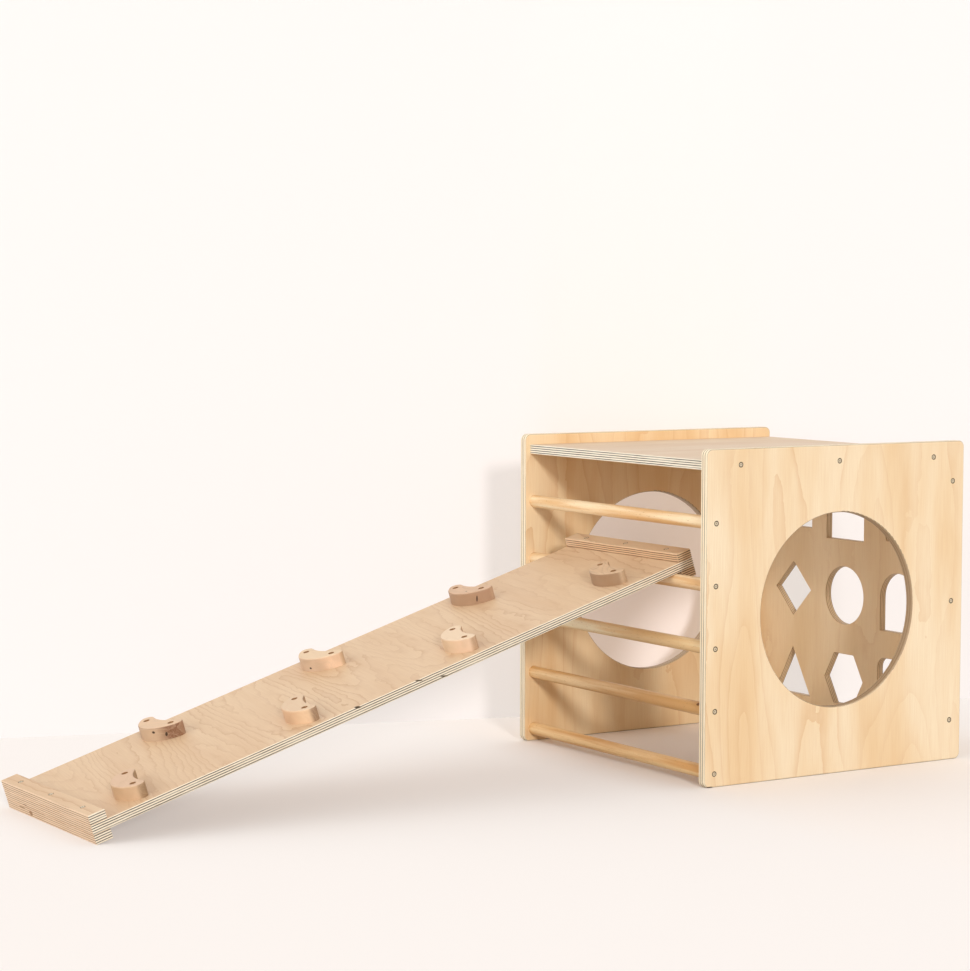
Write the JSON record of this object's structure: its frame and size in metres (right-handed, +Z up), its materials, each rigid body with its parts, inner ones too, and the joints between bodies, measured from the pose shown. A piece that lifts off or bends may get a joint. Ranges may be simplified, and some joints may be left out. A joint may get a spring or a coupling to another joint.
{
  "type": "climbing cube with ramp",
  "caption": "Wooden climbing cube with round crawl holes, a rung ladder, a shape-sorting back panel, and a ramp with kidney-shaped steps hooked over a rung.",
  "frame": {"origin": "on the floor, under the middle of the whole set's box", "axes": "+X runs along the ramp's length from its foot to the cube's back panel, +Y to the cube's left side, +Z up"},
  "size_m": [1.7252, 0.6, 0.6],
  "materials": {
    "side_ply": "clear-lacquered birch plywood, satin",
    "deck_ply": "clear-lacquered birch plywood, satin",
    "back_ply": "clear-lacquered birch plywood, satin",
    "ramp_ply": "clear-lacquered birch plywood, satin",
    "beech": "turned and sanded beech, clear satin lacquer",
    "stone_wood": "milled solid wood, clear satin lacquer",
    "screw_steel": "zinc-plated steel"
  },
  "bodies": {
    "cube": {"side_panel_right": "side_ply", "side_panel_left": "side_ply", "top_panel": "deck_ply", "back_panel": "back_ply", "rung_1": "beech", "rung_2": "beech", "rung_3": "beech", "rung_4": "beech", "rung_5": "beech", "rung_screws_right": "screw_steel", "rung_screws_left": "screw_steel", "top_panel_screws_right": "screw_steel", "top_panel_screws_left": "screw_steel", "back_panel_screws_right": "screw_steel", "back_panel_screws_left": "screw_steel"},
    "ramp": {"ramp_board": "ramp_ply", "lower_top_cleat": "ramp_ply", "lower_foot_cleat": "ramp_ply", "upper_top_cleat": "ramp_ply", "upper_hook_cleat": "ramp_ply", "climbing_stone_1": "stone_wood", "climbing_stone_2": "stone_wood", "climbing_stone_3": "stone_wood", "climbing_stone_4": "stone_wood", "climbing_stone_5": "stone_wood", "climbing_stone_6": "stone_wood", "climbing_stone_7": "stone_wood", "stone_screws": "screw_steel", "cleat_screws_lower": "screw_steel", "cleat_screws_upper": "screw_steel"}
  },
  "joints": [
    {"name": "ramp_pivot", "type": "hinge", "parent": "cube", "child": "ramp", "pos_m": [0.28462, 0, 0.35775], "axis": [0, 1, 0], "range_deg": [0, 70]}
  ]
}
